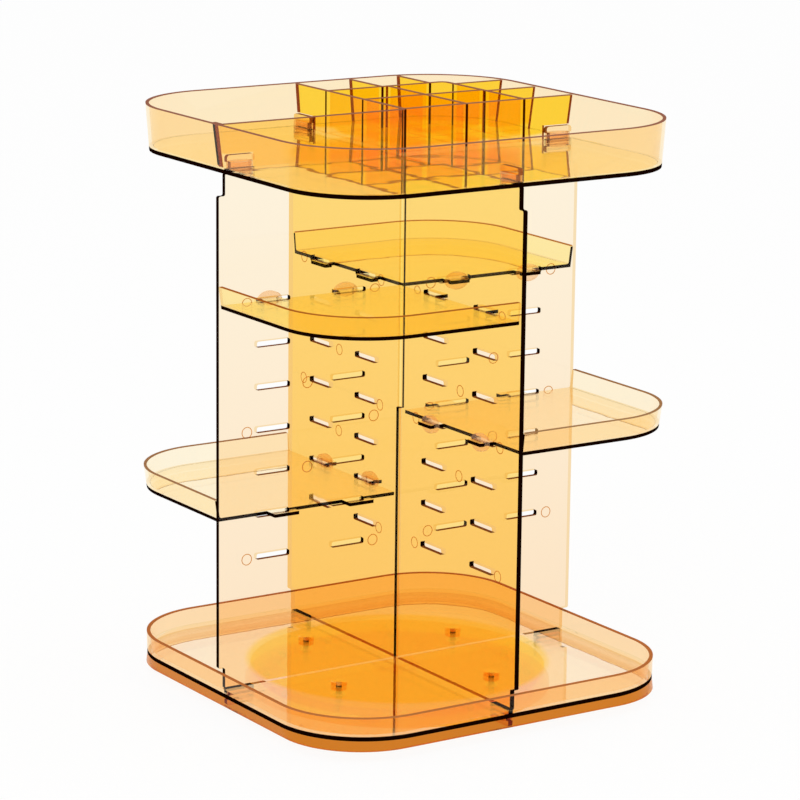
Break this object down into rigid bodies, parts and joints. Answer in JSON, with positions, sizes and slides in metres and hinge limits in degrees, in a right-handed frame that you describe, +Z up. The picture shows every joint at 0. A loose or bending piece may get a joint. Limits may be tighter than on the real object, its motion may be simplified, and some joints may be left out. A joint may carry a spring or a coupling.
{
  "type": "rotating makeup organizer",
  "caption": "Clear amber rotating makeup organiser: turntable base tray, slotted crossed panels, hook-on quarter trays and a deep top tray with dividers.",
  "frame": {"origin": "centre of the turntable, on the surface it stands on", "axes": "+Z up along the turning axis; +X along the panel open at its top for the half lap; -Y is the front"},
  "size_m": [0.23, 0.23, 0.3191],
  "materials": {
    "tinted_plastic": "clear amber moulded plastic, polished",
    "ring_plastic": "milky soft plastic",
    "foot_plastic": "milky translucent plastic",
    "cage_plastic": "satin moulded plastic",
    "pad_rubber": "soft clear rubber",
    "ball_steel": "polished",
    "screw_steel": "zinc plated"
  },
  "bodies": {
    "foot": {"foot_plate": "foot_plastic", "foot_pads": "pad_rubber", "pivot_cap": "foot_plastic"},
    "bearing_cage": {"ball_cage": "cage_plastic", "bearing_balls": "ball_steel"},
    "tower": {"upper_race": "foot_plastic", "turntable_screws": "screw_steel", "base_tray": "tinted_plastic", "base_rings": "ring_plastic", "panel_wide": "tinted_plastic", "panel_deep": "tinted_plastic", "tray_front": "tinted_plastic", "tray_right": "tinted_plastic", "tray_back": "tinted_plastic", "tray_left": "tinted_plastic", "tray_rings_front": "ring_plastic", "tray_rings_right": "ring_plastic", "tray_rings_back": "ring_plastic", "tray_rings_left": "ring_plastic", "top_tray": "tinted_plastic", "top_rings": "ring_plastic"},
    "cell_grid": {"cell_grid": "tinted_plastic"},
    "divider_wall": {"divider_wall": "tinted_plastic"}
  },
  "joints": [
    {"name": "tower_spin", "type": "hinge", "parent": "foot", "child": "tower", "pos_m": [0, 0, 0], "axis": [0, 0, 1], "continuous": true},
    {"name": "cage_spin", "type": "hinge", "parent": "foot", "child": "bearing_cage", "pos_m": [0, 0, 0], "axis": [0, 0, 1], "continuous": true},
    {"name": "cell_grid_lift", "type": "slide", "parent": "tower", "child": "cell_grid", "axis": [0, 0, 1], "range_m": [0, 0.03]},
    {"name": "divider_lift", "type": "slide", "parent": "tower", "child": "divider_wall", "axis": [0, 0, 1], "range_m": [0, 0.03]}
  ],
  "couplings": [
    {"joint": "cage_spin", "follows": "tower_spin", "ratio": 0.5}
  ]
}
